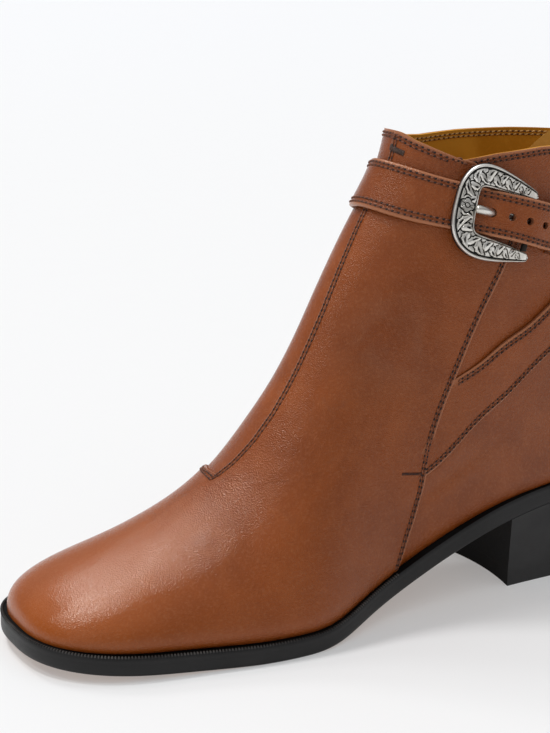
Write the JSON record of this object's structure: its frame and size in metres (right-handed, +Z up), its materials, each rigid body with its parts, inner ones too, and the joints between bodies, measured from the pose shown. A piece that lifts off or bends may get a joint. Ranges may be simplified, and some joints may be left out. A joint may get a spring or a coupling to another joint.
{
  "type": "buckle ankle boot",
  "caption": "Left ankle boot in tan leather with a lapped vamp, a strap that winds round the ankle to a horseshoe buckle, a dark welted sole and a block heel.",
  "frame": {"origin": "middle of the box of the whole boot, on the floor that the heel and forefoot stand on", "axes": "+X to the toe, +Y to the outer (lateral) side of the left foot, which has the buckle, +Z up"},
  "size_m": [0.2648, 0.0952, 0.1862],
  "materials": {
    "upper_leather": "smooth tan calf leather, semi-gloss",
    "lining_leather": "matt mustard lining leather",
    "sole_black": "black edge-dressed leather",
    "heel_rubber": "black rubber",
    "buckle_metal": "antique silver, dark in the recesses"
  },
  "bodies": {
    "root": {"upper": "upper_leather", "welt": "sole_black", "outsole": "sole_black", "insole": "lining_leather", "heel_block": "sole_black", "top_lift": "heel_rubber", "ankle_strap": "upper_leather", "buckle_strap": "upper_leather", "buckle_frame": "buckle_metal", "buckle_bar": "buckle_metal", "buckle_prong": "buckle_metal", "keeper": "buckle_metal"}
  },
  "joints": []
}
